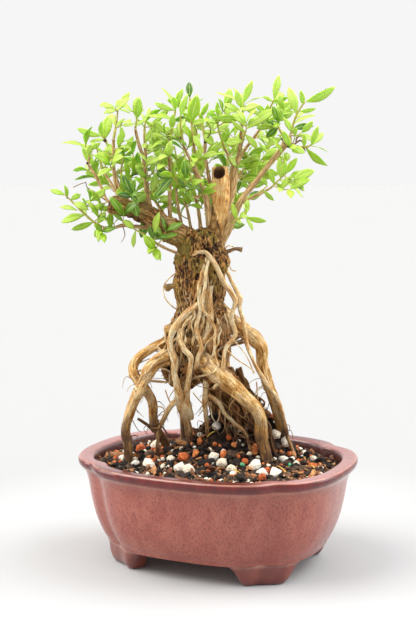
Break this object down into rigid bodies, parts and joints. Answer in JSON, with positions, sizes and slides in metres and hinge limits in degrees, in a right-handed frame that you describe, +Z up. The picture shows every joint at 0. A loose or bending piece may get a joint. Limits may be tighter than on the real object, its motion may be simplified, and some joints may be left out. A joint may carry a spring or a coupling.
{
  "type": "potted bonsai",
  "caption": "Small exposed-root bonsai with a leafy crown, growing in a glazed four-lobed oval pot on four low feet.",
  "frame": {"origin": "middle of the bounding box's footprint, on the table under the pot's feet", "axes": "+X along the pot's long side, +Y across the pot, away from the front, +Z up"},
  "size_m": [0.2076, 0.1712, 0.35],
  "materials": {
    "glaze": "satin glaze, mottled red-brown",
    "soil": "rough, granular",
    "bark": "rough bark",
    "leaf": "satin leaf",
    "drain_mesh": "matte"
  },
  "bodies": {
    "root": {"pot": "glaze", "drain_mesh_left": "drain_mesh", "drain_mesh_right": "drain_mesh", "soil": "soil", "trunk_and_roots": "bark", "leafy_stem_01": "leaf", "leafy_stem_02": "leaf", "leafy_stem_03": "leaf", "leafy_stem_04": "leaf", "leafy_stem_05": "leaf", "leafy_stem_06": "leaf", "leafy_stem_07": "leaf", "leafy_stem_08": "leaf", "leafy_stem_09": "leaf", "leafy_stem_10": "leaf", "leafy_stem_11": "leaf", "leafy_stem_12": "leaf", "leafy_stem_13": "leaf", "leafy_stem_14": "leaf", "leafy_stem_15": "leaf", "leafy_stem_16": "leaf", "leafy_stem_17": "leaf", "leafy_stem_18": "leaf", "leafy_stem_19": "leaf", "leafy_stem_20": "leaf", "leafy_stem_21": "leaf", "leafy_stem_22": "leaf", "leafy_stem_23": "leaf", "leafy_stem_24": "leaf", "leafy_stem_25": "leaf", "leafy_stem_26": "leaf", "leafy_stem_27": "leaf", "leafy_stem_28": "leaf", "leafy_stem_29": "leaf", "leafy_stem_30": "leaf", "leafy_stem_31": "leaf", "leafy_stem_32": "leaf", "leafy_stem_33": "leaf"}
  },
  "joints": []
}
